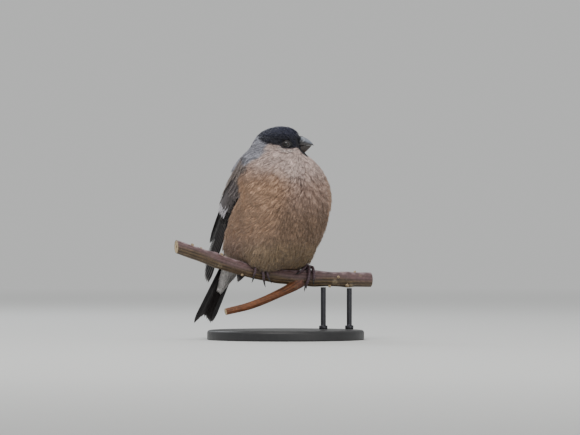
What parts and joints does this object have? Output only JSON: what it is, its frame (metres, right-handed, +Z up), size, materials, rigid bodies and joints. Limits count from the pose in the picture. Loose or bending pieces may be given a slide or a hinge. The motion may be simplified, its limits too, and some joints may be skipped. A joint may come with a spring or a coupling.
{
  "type": "bullfinch, hen, still life-size model on a perch",
  "caption": "Hen bullfinch, life size, sitting upright on a cut branch with its head turned to its left, over a small round display stand.",
  "frame": {"origin": "centre of the display stand's base, on its underside", "axes": "+Z up, -Y the way the bird's breast faces, +X to the bird's left"},
  "size_m": [0.114, 0.1164, 0.1305],
  "materials": {
    "cap": "glossy blue-black feathers, silky",
    "neck": "soft blue-grey feathers, matte",
    "breast": "soft pinkish grey-brown feathers, matte",
    "vent": "soft greyish white feathers, matte",
    "flight": "stiff brown-black flight feathers with a blue sheen, pale edges and wing bar",
    "bill": "horn, dark grey with a paler brown lower half, satin",
    "eye": "wet, near black dark brown",
    "leg": "scaly purple-black skin of the feet, satin",
    "claw": "black horn, glossy",
    "bark": "bark, smooth pinkish grey above and rough olive yellow below",
    "twig": "orange-brown ridged bark",
    "stand": "satin dark grey paint"
  },
  "bodies": {
    "root": {"head": "cap", "neck": "neck", "torso": "breast", "undertail_coverts": "vent", "tail": "flight", "bill_upper": "bill", "bill_lower": "bill", "eye_left": "eye", "wing_left": "flight", "leg_left": "leg", "toe_left_1": "leg", "claw_left_1": "claw", "toe_left_2": "leg", "claw_left_2": "claw", "toe_left_3": "leg", "claw_left_3": "claw", "toe_left_4": "leg", "claw_left_4": "claw", "eye_right": "eye", "wing_right": "flight", "leg_right": "leg", "toe_right_1": "leg", "claw_right_1": "claw", "toe_right_2": "leg", "claw_right_2": "claw", "toe_right_3": "leg", "claw_right_3": "claw", "toe_right_4": "leg", "claw_right_4": "claw", "perch_branch": "bark", "perch_twig": "twig", "stand_base": "stand", "stand_rod_1": "stand", "stand_rod_2": "stand"}
  },
  "joints": []
}
